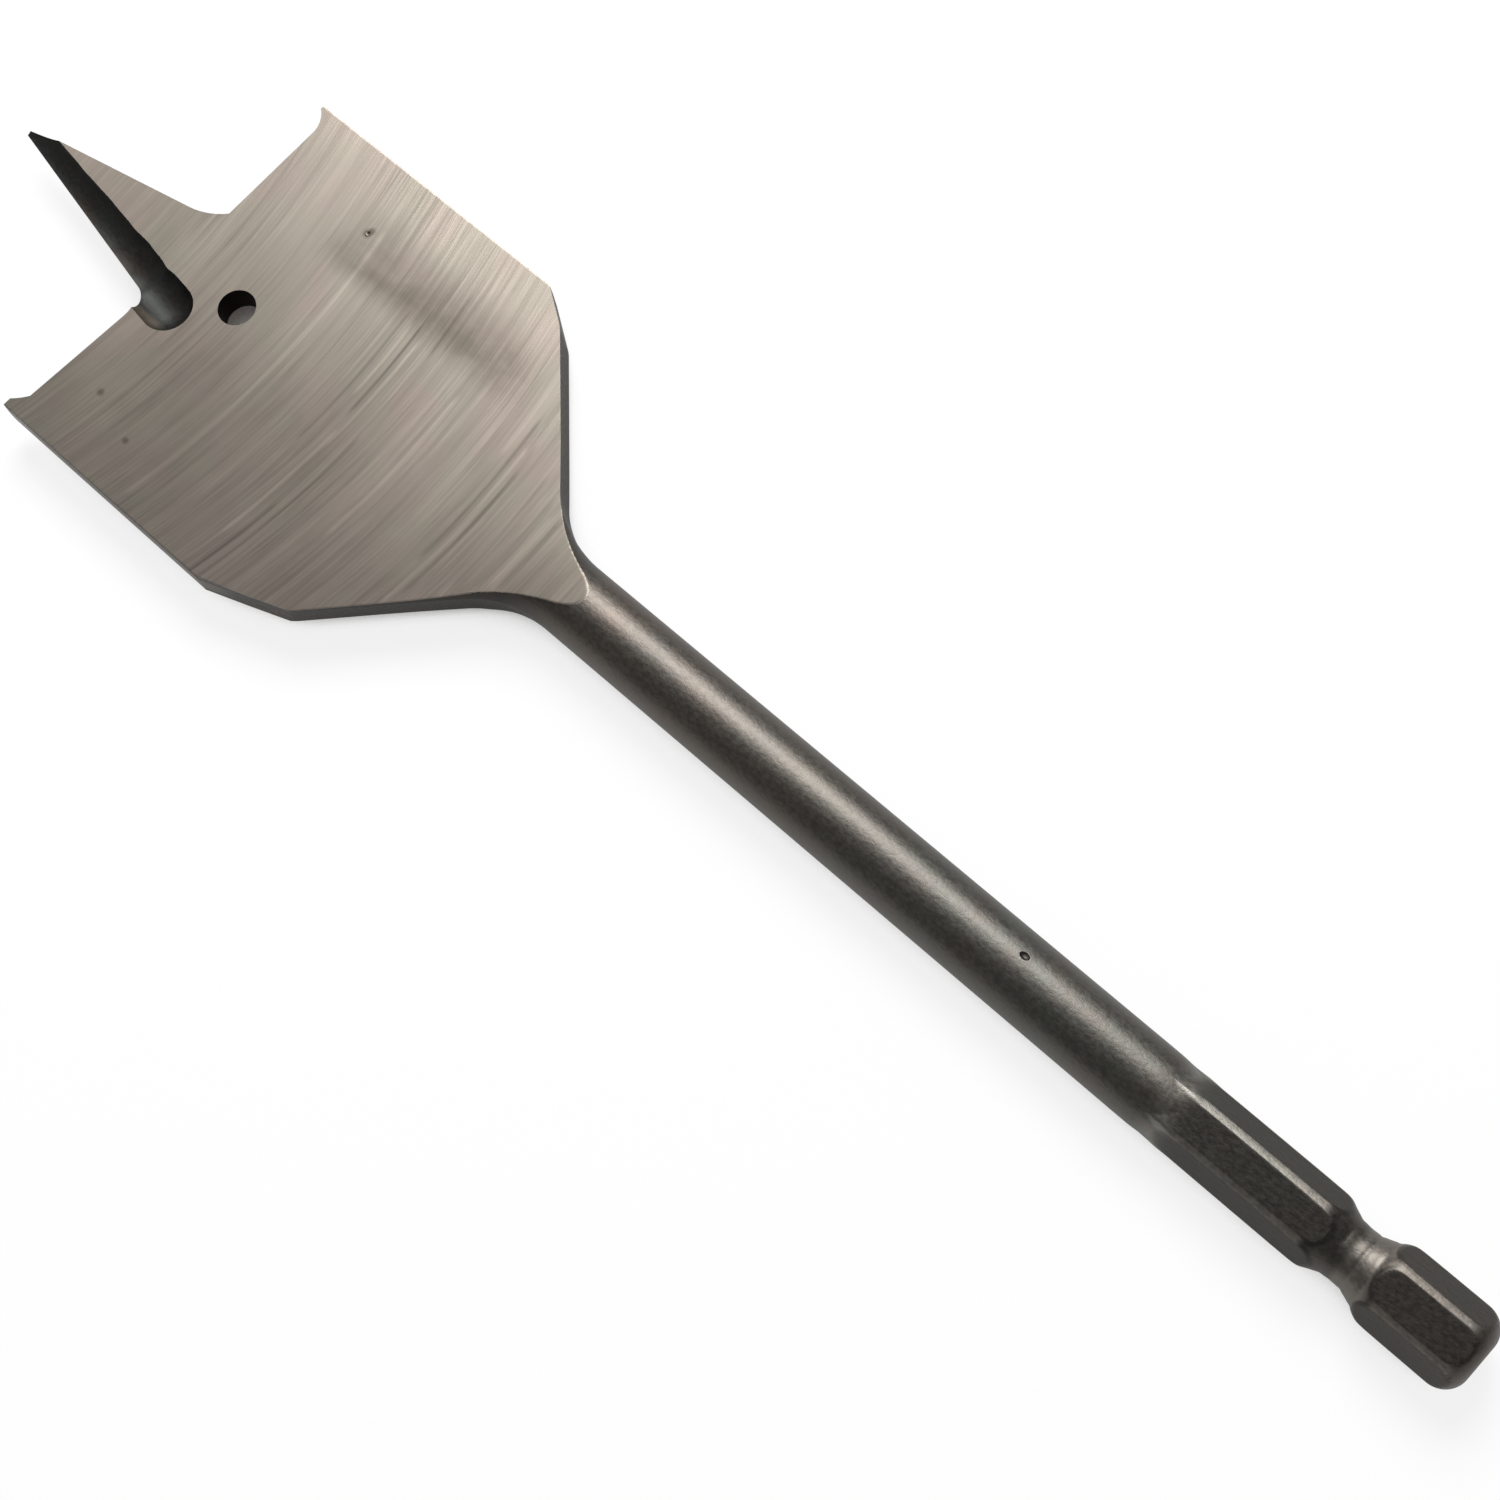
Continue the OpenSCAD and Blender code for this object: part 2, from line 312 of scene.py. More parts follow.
def blank_points():
    """Grid of the blank, one row for each section. Round a section the turn runs from +Y; the
    first cells of each quarter lie on the side wall and the rest on the ground face. A point
    lies at the smaller of the blank's radius, less the wear of the drive end, and the flats.
    The corner between the two is rounded more, by a bell curve, at the end of the flats. Then
    its height is cut to the ground face, and its side to neck, heel and bevels."""
    x = stations()[:, None]
    radius = blank_radius(x)
    edge_turn = np.arcsin(np.clip(face_height(x) / radius, 0, 1))
    wall = np.minimum(edge_turn, wall_turn)
    cell = np.arange(quarter_cells + 1)[None, :]
    on_wall = wall * cell / wall_cells
    on_face = wall + (np.pi / 2 - wall) * (cell - wall_cells) / (quarter_cells - wall_cells)
    quarter = np.where(cell < wall_cells, on_wall, on_face)
    turn = np.concatenate([quarter[:, :-1], np.pi - quarter[:, :0:-1],
                           np.pi + quarter[:, :-1], 2 * np.pi - quarter[:, :0:-1]], axis=1)
    wear_and_sheen = corner_wear * np.clip((hex_len - hex_runout - x) / hex_runout, 0, 1)
    soft = corner_soft + runout_soft * np.exp(-((x - hex_len) / runout_wide) ** 2)
    pressed = soft_min(radius - wear_and_sheen, hex_radius(x, turn), soft)
    radius = np.where(x < hex_len + 3 * runout_wide, pressed, radius)
    y = radius * np.cos(turn)
    z = radius * np.sin(turn)
    z = np.sign(z) * np.maximum(soft_min(np.abs(z), face_height(x), face_soft), 0)
    y = np.minimum(y, np.minimum(heel_wall(x, z), heel_limit(x, bevel_lead)))
    y = np.maximum(y, -np.minimum(heel_wall(x, -z), heel_limit(x, bevel_trail)))
    return np.stack([np.broadcast_to(x, y.shape), y, z], axis=-1)


def tube_faces(rows, columns):
    """Quads between the rows of a closed tube, and one face over each end."""
    row, column = np.meshgrid(np.arange(rows - 1), np.arange(columns), indexing="ij")
    here, across = row * columns + column, row * columns + (column + 1) % columns
    quads = np.stack([here, across, across + columns, here + columns], axis=-1).reshape(-1, 4)
    caps = [list(range(columns))[::-1], list(range((rows - 1) * columns, rows * columns))]
    return quads[:, ::-1].tolist() + [cap[::-1] for cap in caps]


def read_values(items, name, width=1, kind=float):
    """A value, or a row of width values, of every point, face, corner or edge of a mesh."""
    values = np.zeros(len(items) * width, kind)
    items.foreach_get(name, values)
    return values.reshape(-1, width) if width > 1 else values


def outward(made):
    """Turns a closed mesh so that its faces point outwards. They do when the products of each
    triangle's three corners, which are its signed volumes, add up to more than nothing."""
    bpy.context.view_layer.update()
    mesh = made.data
    mesh.calc_loop_triangles()
    picks = read_values(mesh.loop_triangles, "vertices", 3, int)
    a, b, c = read_values(mesh.vertices, "co", 3)[picks].transpose(1, 0, 2)
    if np.einsum("ij,ij->i", a, np.cross(b, c)).sum() < 0:
        mesh.flip_normals()
    return made


# Steel of the bit. The blade is ground bright, in arcs that run across its width; shank, heel
# and drive end keep the dark skin of the heat treatment. Each finish is one shader group.
ground_dark = (0.185, 0.164, 0.143, 1)
ground_light = (0.345, 0.308, 0.272, 1)
rosy_tint = (1.02, 0.98, 0.965, 1)
green_tint = (0.98, 0.995, 0.955, 1)
ground_rough, ground_rough_swing = 0.45, 0.03
cloud_share = 0.35
hair_share = 0.35
line_bump = 0.02
skin_cool = (0.102, 0.102, 0.091, 1)
skin_warm = (0.107, 0.098, 0.088, 1)
skin_brown = (0.117, 0.1, 0.087, 1)
skin_rough, skin_rough_swing = 0.46, 0.06
blotch_height = 0.7
skin_bump = 0.024
# Ranges that the noises are carried from, and where they have four values, the range carried to
line_swing = (0.3, 0.7, 0.55, 1.3)
line_contrast = (0.15, 0.85)
grain_contrast = (0.25, 0.75, 0.84, 1.16)
tint_share = (0.35, 0.65)
rough_share = (0.2, 0.8)
# The skin is coolest near heat_at and browner away from it, over the distances of heat_reach
heat_at = 38
heat_reach = (6, 44)
# Noises of the finishes: size along each axis, detail, and how far each is moved
noise_rough = 0.6
fine_lines = dict(size=(0.24, 9, 2), detail=3, shift=3.1)
hair_lines = dict(size=(0.07, 5, 2), detail=1, shift=9.4)
coarse_lines = dict(size=(0.75, 30, 2), detail=2, shift=8.2)
line_patches = dict(size=(7, 9, 2), detail=2, shift=5.5)
ground_clouds = dict(size=(11, 14, 2), detail=3, shift=1.3)
ground_tints = dict(size=(6, 6, 2), detail=1, shift=7.7)
skin_blotches = dict(size=(5, 2.5, 2.5), detail=3, shift=2.7)
skin_grains = dict(size=(0.5, 0.32, 0.32), detail=3, shift=6.1)
stain_patches = dict(size=(5, 3, 3), detail=3, shift=4.4)
# Grinding arcs: radius, where across the blade their top lies, and how much closer the lines
# lie in depth than along the bit
arc_r = 80
arc_y = 4
arc_depth = 9.0
brushed, brushed_turn = 0.86, 0.25
# Shades that the skin is multiplied by, painting light and shade on it: painted shade on the flats
# and more on the low one of them, a painted highlight over the wear of the strips along their
# corners, painted shade in the groove and a painted highlight over the wear of its rings, and
# painted shade on the walls of the heel
flat_shade = 0.56
low_flat_shade = 0.82
worn_strip_highlight = 1.85
groove_shade = 0.8
worn_ring_highlight = 1.4
wall_shade = 0.35
# How far the middle of the low flat lies before the hex corner, and its half width
low_flat_deg = 90
half_flat_deg = 30
# Where each shade sets in, and the length over which it comes to its full strength
land_rise = (3, 0.4)
end_rise = (1, 0.5)
strip_rise = (0, 0.04)
groove_rise = (0.18, 0.05)
rings_rise = (8.4, 0.5)
rings_fall = (11.2, 0.5)
shank_rise = (hex_len - 1, 2)
wall_rise = (neck_x - 2, 6)
# How bright the long sides are ground, and how near to a surface a point has to be to lie on it
side_bright = 0.5
on_surface = 0.02
# The heel side of the face has a painted shade, a little darker, and its leading corner at the lip
# a painted sheen, brighter
heel_painted_shade = (99, 108, 0.93, 1.0)
corner_painted_sheen = (133, 143, 1.0, 1.15)
corner_lean = 0.5
# Stain of the front face: its stretch along the bit, and how it rises and ends across the bit
stain_color = (0.55, 0.55, 0.53, 1)
stain_along = (110, 125.5, 6.0)
stain_rise = (-16.5, -10.5)
stain_end = (-10.4, -7.4, 1.0, 0.0)
stain_contrast = (0.25, 0.65, 0.55, 1.0)
# Dark spots: place and radius, with the share of the radius where each starts and stops fading
spot_color = (0.62, 0.58, 0.56, 1)
spot_fade = (0.3, 1.3)
spots = [(134.5, 12.8, 0.4), (129.4, 14.5, 0.35), (127.5, -12.6, 0.5), (127.35, -13.0, 0.4)]
mark_fade = 1.5
mark_height = 0.3
# Grinding marks that stand out: place across the lines, from and to along them, width, and how
# much lighter or darker they are
marks = [
    (94.9, -3, 3, 0.25, -0.2), (95.7, -3, 3, 0.25, 0.16), (96.5, -4, 4, 0.22, -0.16),
    (97.4, -4, 4, 0.2, 0.14), (98.3, -5, 5, 0.22, -0.14),
    (102.15, -8.5, 5, 0.16, -0.28), (101.5, -6, 10, 0.16, 0.22), (100.8, -4, 8, 0.2, -0.2),
    (103.0, -14.5, -6, 0.2, 0.22), (100.9, -13, -8, 0.2, 0.2), (116.25, -8.5, -0.5, 0.13, -0.34),
    (117.1, -8, -2, 0.15, 0.24), (115.6, -7, 3, 0.12, 0.22), (114.0, -13, -8.5, 0.15, -0.22),
    (124.5, -12.5, 17, 0.2, 0.24), (109.5, -5.5, 8.5, 0.18, 0.3), (113.9, 2.5, 18.5, 0.16, -0.25),
    (114.8, 11, 18.5, 0.16, -0.25), (115.9, 3, 14, 0.2, 0.2), (118.0, -8.5, 4, 0.15, -0.22),
]


def shader_group(name, inputs, outputs):
    """An empty shader group with named value, vector and colour sockets, and its two ends."""
    group = bpy.data.node_groups.new(name, "ShaderNodeTree")
    for way, sockets in (("INPUT", inputs), ("OUTPUT", outputs)):
        for socket_name, kind in sockets.items():
            group.interface.new_socket(socket_name, in_out=way, socket_type="NodeSocket" + kind)
    given = group.nodes.new("NodeGroupInput").outputs
    wanted = group.nodes.new("NodeGroupOutput").inputs
    return group, given, wanted


def place_group(tree, group, inputs):
    """Places a shader group in a material; gives its outputs."""
    return add_node(tree, "ShaderNodeGroup", inputs, node_tree=group).outputs


def noise(tree, place, size, detail, shift):
    """Noise of the given size in millimetres along each axis of a place in millimetres."""
    scaled = add_node(tree, "ShaderNodeMapping", {
        "Vector": place, "Location": (shift,) * 3, "Scale": tuple(1 / step for step in size)})
    return add_node(tree, "ShaderNodeTexNoise", {
        "Vector": scaled.outputs[0], "Scale": 1.0, "Detail": detail,
        "Roughness": noise_rough}).outputs["Fac"]


def place_mm(tree):
    """Object coordinates in millimetres, as a vector and as its three values."""
    place = add_node(tree, "ShaderNodeTexCoord").outputs["Object"]
    scaled = add_node(tree, "ShaderNodeVectorMath", {0: place, 3: 1 / mm},
                      operation="SCALE").outputs[0]
    return scaled, add_node(tree, "ShaderNodeSeparateXYZ", {0: scaled}).outputs


def bump(tree, height, distance):
    """A bump of the height at the distance in millimetres; gives the normal socket."""
    return add_node(tree, "ShaderNodeBump", {"Strength": 1.0, "Distance": distance * mm,
                                             "Height": height}).outputs[0]


def metal_shader(tree, output, color, rough, normal):
    """Closes a material with a metallic shader of the given colour, roughness and normal."""
    shader = add_node(tree, "ShaderNodeBsdfPrincipled", {
        "Base Color": color, "Metallic": 1.0, "Roughness": rough, "Normal": normal})
    tree.links.new(shader.outputs[0], output.inputs["Surface"])
    return shader


# Ground finish: lines along Y of the place that it is given. Fine lines and coarser ones are
# added up, stronger in some patches than in others.
ground_finish, given, wanted = shader_group("ground_finish", {"Place": "Vector"}, {
    "Color": "Color", "Roughness": "Float", "Height": "Float"})
tree = ground_finish
fine = noise(tree, given["Place"], **fine_lines)
hair = noise(tree, given["Place"], **hair_lines)
coarse = noise(tree, given["Place"], **coarse_lines)
patch = noise(tree, given["Place"], **line_patches)
swing = ramp(tree, patch, *line_swing)
lines = math_node(tree, "MULTIPLY_ADD", fine, 0.5, math_node(tree, "MULTIPLY", coarse, 0.5))
lines = math_node(tree, "MULTIPLY_ADD", math_node(tree, "SUBTRACT", lines, 0.5), swing, 0.5)
cloud = noise(tree, given["Place"], **ground_clouds)
shade = math_node(tree, "SUBTRACT", cloud, 0.5)
shade = math_node(tree, "MULTIPLY_ADD", shade, cloud_share, lines)
shade = ramp(tree, shade, *line_contrast)
tint = noise(tree, given["Place"], **ground_tints)
tint = mix_color(tree, ramp(tree, tint, *tint_share), rosy_tint, green_tint)
color = mix_color(tree, 1.0, mix_color(tree, shade, ground_dark, ground_light), tint, "MULTIPLY")
rough = ramp(tree, cloud, *rough_share, ground_rough - ground_rough_swing,
             ground_rough + ground_rough_swing)
height = math_node(tree, "MULTIPLY_ADD", hair, hair_share, lines)
tree.links.new(color, wanted["Color"])
tree.links.new(rough, wanted["Roughness"])
tree.links.new(height, wanted["Height"])

# Forged finish: a dark skin, of two colours in soft patches, a little mottled.
forged_finish, given, wanted = shader_group("forged_finish", {
    "Place": "Vector", "Cool": "Color", "Warm": "Color"}, {
    "Color": "Color", "Roughness": "Float", "Height": "Float"})
tree = forged_finish
blotch = noise(tree, given["Place"], **skin_blotches)
grain = noise(tree, given["Place"], **skin_grains)
tint = mix_color(tree, ramp(tree, blotch, *tint_share), given["Cool"], given["Warm"])
level = ramp(tree, grain, *grain_contrast)
level_color = add_node(tree, "ShaderNodeCombineColor", {0: level, 1: level, 2: level}).outputs[0]
rough = ramp(tree, grain, *rough_share, skin_rough - skin_rough_swing,
             skin_rough + skin_rough_swing)
height = math_node(tree, "MULTIPLY_ADD", blotch, blotch_height, grain)
tree.links.new(mix_color(tree, 1.0, tint, level_color, "MULTIPLY"), wanted["Color"])
tree.links.new(rough, wanted["Roughness"])
tree.links.new(height, wanted["Height"])


def band(tree, value, low, high, soft):
    """One between low and high, falling smoothly to nothing over soft outside them."""
    rise = ramp(tree, value, low - soft, low)
    fall = ramp(tree, value, high, high + soft, 1.0, 0.0)
    return math_node(tree, "MULTIPLY", rise, fall)


def shaded(tree, color, *shades):
    """A colour multiplied by values or value sockets."""
    for shade in shades:
        level = add_node(tree, "ShaderNodeCombineColor", {0: shade, 1: shade, 2: shade}).outputs[0]
        color = mix_color(tree, 1.0, color, level, "MULTIPLY")
    return color


def arc_place(tree, axes):
    """A place whose X is carried along the grinding arcs, so that lines of equal X bow back:
    X less the square of the way off arc_y over twice the arc's radius. Gives X and the place."""
    bow = math_node(tree, "POWER", math_node(tree, "SUBTRACT", axes["Y"], arc_y), 2.0)
    across = math_node(tree, "MULTIPLY_ADD", bow, -1 / (2 * arc_r), axes["X"])
    depth = math_node(tree, "MULTIPLY", axes["Z"], arc_depth)
    return across, add_node(tree, "ShaderNodeCombineXYZ", {
        "X": across, "Y": axes["Y"], "Z": depth}).outputs[0]


def rise(value, start, length):
    """Nothing up to start, then a straight line that comes to one after the length."""
    return np.clip((value - start) / length, 0, 1)


def ground_share(x, y, z):
    """How bright the steel is ground at a point: one on the two faces and nothing below them,
    with a short straight line between, and at least side_bright on the blade's long sides."""
    share = rise(np.abs(z) - face_height(x), -on_surface, on_surface / 2)
    on_side = np.abs(y) > blade_r - on_surface
    return np.where(on_side, np.maximum(share, side_bright), share)


def skin_shade(x, y, z):
    """How light the skin is at a point, with light and shade painted on it. Flats get painted
    shade, and over them are blended the strips along their corners, where the surface lies
    inside the full hex, which show wear and a painted highlight, and the groove in painted shade
    with wear and a painted highlight on its rings, where it lies well inside. The shade goes over
    to one at the end of the flats, stays so along the round shank, and falls to wall_shade, a
    painted shade, over neck and heel."""
    turn = np.arctan2(z, y)
    over_flat = hex_radius(x, turn) - np.hypot(y, z)
    on_land = rise(np.abs(x - groove_at), *land_rise) * rise(x, *end_rise)
    on_strip = on_land * rise(over_flat, *strip_rise)
    in_groove = (1 - on_land) * rise(over_flat, *groove_rise)
    on_low_flat = np.abs(np.degrees(turn) - hex_corner_deg + low_flat_deg) < half_flat_deg
    flats = flat_shade * np.where(on_low_flat, low_flat_shade, 1)
    on_rings = rise(x, *rings_rise) * (1 - rise(x, *rings_fall))
    # Painted shade in the groove, with a painted highlight over the wear of its rings
    groove = groove_shade + (worn_ring_highlight - groove_shade) * on_rings
    shade = flats + (worn_strip_highlight - flats) * on_strip + (groove - flats) * in_groove
    shade = shade + (1 - shade) * rise(x, *shank_rise)
    return np.where(x > wall_rise[0], 1 + (wall_shade - 1) * rise(x, *wall_rise), shade)


# The skin reads two values of the mesh: how bright it is ground, and its painted shade and
# highlight on the flats, the wear of their corners, the groove and the heel. Its colour is browner
# away from the middle.
bit_steel, steel_output = new_material("bit_steel")
tree = bit_steel.node_tree
place, axes = place_mm(tree)
ground = place_group(tree, ground_finish, {"Place": arc_place(tree, axes)[1]})
away = math_node(tree, "ABSOLUTE", math_node(tree, "SUBTRACT", axes["X"], heat_at))
skin_tint = mix_color(tree, ramp(tree, away, *heat_reach), skin_cool, skin_brown)
skin = place_group(tree, forged_finish, {"Place": place, "Cool": skin_tint, "Warm": skin_warm})
on_face = add_node(tree, "ShaderNodeAttribute", attribute_name="ground").outputs["Fac"]
shade = add_node(tree, "ShaderNodeAttribute", attribute_name="shade").outputs["Fac"]
color = mix_color(tree, on_face, shaded(tree, skin["Color"], shade), ground["Color"])
rough = mix_value(tree, on_face, skin["Roughness"], ground["Roughness"])
metal_shader(tree, steel_output, color, rough, bump(tree, skin["Height"], skin_bump))

# The ground faces are brushed across, so their gloss spreads along the bit, with painted shade
# toward the heel and a painted sheen at the lip's leading corner. The front one has its marks, a
# dull stain and a few dark spots.
face_steel, face_output = new_material("face_steel")
tree = face_steel.node_tree
place, axes = place_mm(tree)
across, along_arc = arc_place(tree, axes)
ground = place_group(tree, ground_finish, {"Place": along_arc})
is_front = math_node(tree, "GREATER_THAN", axes["Z"], 0.0)
drawn = 0.0
for mark_x, mark_from, mark_to, mark_width, mark_lift in marks:
    off = math_node(tree, "ABSOLUTE", math_node(tree, "SUBTRACT", across, mark_x))
    line = ramp(tree, off, 0.0, 2 * mark_width, mark_lift, 0.0)
    reach = band(tree, axes["Y"], mark_from, mark_to, mark_fade)
    drawn = math_node(tree, "MULTIPLY_ADD", line, reach, drawn)
drawn = math_node(tree, "MULTIPLY", drawn, is_front)
# Painted shade toward the heel and painted sheen toward the leading corner of the lip
toward_corner = math_node(tree, "MULTIPLY_ADD", axes["Y"], corner_lean, axes["X"])
painted_sheen_and_shade = math_node(tree, "MULTIPLY", ramp(tree, axes["X"], *heel_painted_shade),
                     ramp(tree, toward_corner, *corner_painted_sheen))
face_color = shaded(tree, ground["Color"], math_node(tree, "ADD", drawn, 1.0), painted_sheen_and_shade)
stain_across = math_node(tree, "MULTIPLY", ramp(tree, axes["Y"], *stain_rise),
                         ramp(tree, axes["Y"], *stain_end))
stain = math_node(tree, "MULTIPLY", band(tree, axes["X"], *stain_along), stain_across)
stain_noise = noise(tree, place, **stain_patches)
stain = math_node(tree, "MULTIPLY", stain, ramp(tree, stain_noise, *stain_contrast))
stain = math_node(tree, "MULTIPLY", stain, is_front)
face_color = mix_color(tree, stain, face_color, stain_color, "MULTIPLY")
for spot_x, spot_y, spot_r in spots:
    away = add_node(tree, "ShaderNodeVectorMath", {0: place, 1: (spot_x, spot_y, face_z)},
                    operation="DISTANCE").outputs["Value"]
    spot = ramp(tree, away, spot_fade[0] * spot_r, spot_fade[1] * spot_r, 1.0, 0.0)
    face_color = mix_color(tree, spot, face_color, spot_color, "MULTIPLY")
line_height = math_node(tree, "MULTIPLY_ADD", drawn, mark_height, ground["Height"])
shader = metal_shader(tree, face_output, face_color, ground["Roughness"],
                      bump(tree, line_height, line_bump))
round_axis = add_node(tree, "ShaderNodeTangent", direction_type="RADIAL", axis="X")
tree.links.new(round_axis.outputs[0], shader.inputs["Tangent"])
shader.inputs["Anisotropic"].default_value = brushed
shader.inputs["Anisotropic Rotation"].default_value = brushed_turn

grid = blank_points()
bit = outward(mesh_object("spade_bit_steel", grid.reshape(-1, 3), tube_faces(*grid.shape[:2]),
                          [bit_steel, face_steel]))

# Cuts of the cutting end. The gaps beside the point leave the lips and spurs, two flutes are
# hollow-ground beside the point, one in each face, and a small hole is drilled behind it. A
# pit in the shank and a nick in the blade come from use.
point_w = 9.3
tip_w = 0.5
point_off = 0.6
lip_relief = np.radians(6)
lip_slope_lead = np.radians(3.5)
lip_slope_trail = np.radians(0.5)
lip_ahead = 0.55
root_r_lead = 2.8
root_r_trail = 6.4
root_kink_trail = np.radians(45)
spur_h = 1.2
# Foot width, tip width and rise of the two spurs
spur_lead = (2.1, 0.8, np.radians(35))
spur_trail = (2.6, 0.4, 0)
flute_r = 2.68
flute_depth = 1.4
flute_back = 4.5
flute_in = 4.1
flute_slope = np.radians(7.6)
# Chatter of the flute: place along it, width, and how much wider it makes the flute
chatter = ((3.1, 0.7, -0.13), (6.3, 0.8, 0.07), (8.3, 0.6, -0.05), (12.4, 1.0, 0.04),
           (16.2, 0.8, -0.04))
hole_r = 1.7
hole_back = 7.1
hole_off = 0.35
# How far the cutting tools reach past the steel, and how near points have to be to be joined
over = 1
join_reach = 0.001
# Cells round the tools and rows along them, and the turn left open at a ball's pole
flute_cells, flute_rows = 96, 120
hole_cells = 72
ball_cells, ball_rows = 48, 24
pole_gap = 0.02
flute_cool = (0.04, 0.042, 0.04, 1)
flute_warm = (0.036, 0.032, 0.029, 1)
runout_sheen_color = (0.16, 0.135, 0.11, 1)
flute_rougher = 0.1
# Where the flute's outer wall gets a painted reflection, lighter and browner, outward and along
# it, and where the painted shade of its inner wall lies
sheen_outward = (4.6, 5.3)
sheen_along = (134.5, 136.5)
inner_height = (0.3, 1.1)
inner_outward = (2.6, 3.8, 1.0, 0.0)
# Painted shade: the wall of the hole is near black, darker than the skin
hole_shade_color = (0.03, 0.022, 0.022, 1)
pit_at = (42.7, -0.83)
pit_radii = (0.52, 0.38, 0.3)
pit_depth = 0.15
pit_shade = 0.5
nick_at = (127.5, -12.6)
nick_r = 0.5
nick_depth = 0.08
sharp_turn = np.radians(14)

flute_steel, flute_output = new_material("flute_steel")
tree = flute_steel.node_tree
place, axes = place_mm(tree)
skin = place_group(tree, forged_finish, {"Place": place, "Cool": flute_cool, "Warm": flute_warm})
# A painted reflection lightens the outer wall near the run-out; painted shade darkens the inner
# wall
outward_y = math_node(tree, "MULTIPLY", axes["Y"], math_node(tree, "SIGN", axes["Z"]))
wear_and_sheen = math_node(tree, "MULTIPLY", ramp(tree, outward_y, *sheen_outward),
                 ramp(tree, axes["X"], *sheen_along))
off_middle = ramp(tree, math_node(tree, "ABSOLUTE", axes["Z"]), *inner_height)
inner_wall_shade = math_node(tree, "MULTIPLY", off_middle, ramp(tree, outward_y, *inner_outward))
shade = math_node(tree, "MULTIPLY_ADD", inner_wall_shade, wall_shade - 1, 1.0)
color = mix_color(tree, wear_and_sheen, shaded(tree, skin["Color"], shade), runout_sheen_color)
rough = math_node(tree, "ADD", skin["Roughness"], flute_rougher)
metal_shader(tree, flute_output, color, rough, bump(tree, skin["Height"], skin_bump))

lip_steel, lip_output = new_material("lip_steel")
tree = lip_steel.node_tree
axes = place_mm(tree)[1]
turned = add_node(tree, "ShaderNodeCombineXYZ", {
    "X": axes["Z"], "Y": axes["Y"], "Z": axes["X"]}).outputs[0]
ground = place_group(tree, ground_finish, {"Place": turned})
metal_shader(tree, lip_output, ground["Color"], ground["Roughness"],
             bump(tree, ground["Height"], line_bump))

hole_steel, hole_output = new_material("hole_steel")
tree = hole_steel.node_tree
place = place_mm(tree)[0]
skin = place_group(tree, forged_finish, {"Place": place, "Cool": hole_shade_color, "Warm": hole_shade_color})
metal_shader(tree, hole_output, skin["Color"], skin["Roughness"],
             bump(tree, skin["Height"], skin_bump))


def arc_points(centre, radius, turn_from, turn_to, steps=24):
    """Points of an arc about a centre, from one turn to another."""
    turn = np.linspace(turn_from, turn_to, steps + 1)
    return np.asarray(centre) + radius * np.stack([np.cos(turn), np.sin(turn)], axis=-1)


def gap_outline(shift, ahead, slope, root_r, kink, spur):
    """Outline of the gap at +Y as (x, y): down the flank of the point, round the root arc, along
    the lip, and up the arc inside the spur."""
    spur_w, spur_tip_w, spur_rise = spur
    height = point_h * np.cos(lip_relief)
    flank = np.arctan((point_w - tip_w) / 2 / height)
    foot = point_w / 2 + shift - ahead * np.tan(flank)
    root = np.array([lip_x + ahead, foot])
    reach = root_r * (np.cos(kink) - np.sin(flank - slope)) / np.cos(flank - slope)
    on_flank = root + reach * np.array([np.cos(flank), -np.sin(flank)])
    centre = on_flank + root_r * np.array([np.sin(flank), np.cos(flank)])
    lip_run = (blade_r - spur_w - foot) / np.cos(slope)
    lip_end = root + lip_run * np.array([np.sin(slope), np.cos(slope)])
    spur_dy = blade_r - spur_tip_w - lip_end[1]
    half_sweep = np.arctan(spur_h / spur_dy) - spur_rise
    spur_r = np.hypot(spur_h, spur_dy) / (2 * np.sin(half_sweep))
    spur_centre = lip_end + spur_r * np.array([np.cos(spur_rise), -np.sin(spur_rise)])
    far_x = lip_x + height + over
    return np.concatenate([
        [[far_x, tip_w / 2 + shift - over * np.tan(flank)]],
        arc_points(centre, root_r, -np.pi / 2 - flank, -np.pi - slope + kink),
        arc_points(spur_centre, spur_r, np.pi - spur_rise, np.pi - spur_rise - 2 * half_sweep),
        [[lip_end[0] + spur_h, blade_r + over], [far_x, blade_r + over]]])


def half_turn(points):
    """The same points on the other side and face: a half turn about the axis."""
    return points * [1, -1, -1]


def gap_points(*outline_sizes):
    """Prism of a gap, its outline carried square to a plane that leans back by the relief."""
    outline = gap_outline(*outline_sizes)
    height = np.array([-point_h, point_h])[:, None]
    x = outline[:, 0] - lip_x
    return np.stack([lip_x + x * np.cos(lip_relief) + height * np.sin(lip_relief),
                     np.broadcast_to(outline[:, 1], (2, len(outline))),
                     face_z - x * np.sin(lip_relief) + height * np.cos(lip_relief)], axis=-1)


